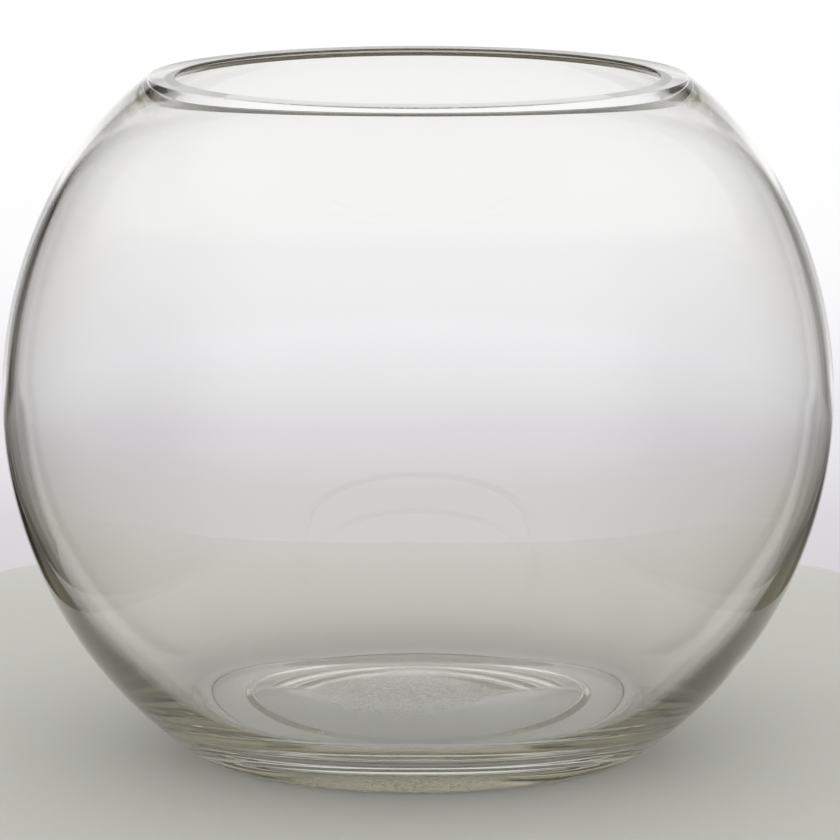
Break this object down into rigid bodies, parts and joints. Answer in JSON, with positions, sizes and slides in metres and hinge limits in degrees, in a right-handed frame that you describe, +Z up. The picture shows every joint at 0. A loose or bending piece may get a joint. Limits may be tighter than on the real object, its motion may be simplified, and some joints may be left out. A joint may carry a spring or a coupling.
{
  "type": "rose bowl vase",
  "caption": "Round clear blown glass bowl with a drawn-in mouth, a flat cut rim and a thick hollowed bottom, for flowers in water.",
  "frame": {"origin": "middle of the foot, on the plane that the bowl stands on", "axes": "+Z up along the bowl's axis; X and Y are free, because the bowl is round"},
  "size_m": [0.2, 0.2, 0.1625],
  "materials": {
    "glass": "clear, fire polished, with a ground rim"
  },
  "bodies": {
    "root": {"glass_bowl": "glass"}
  },
  "joints": []
}
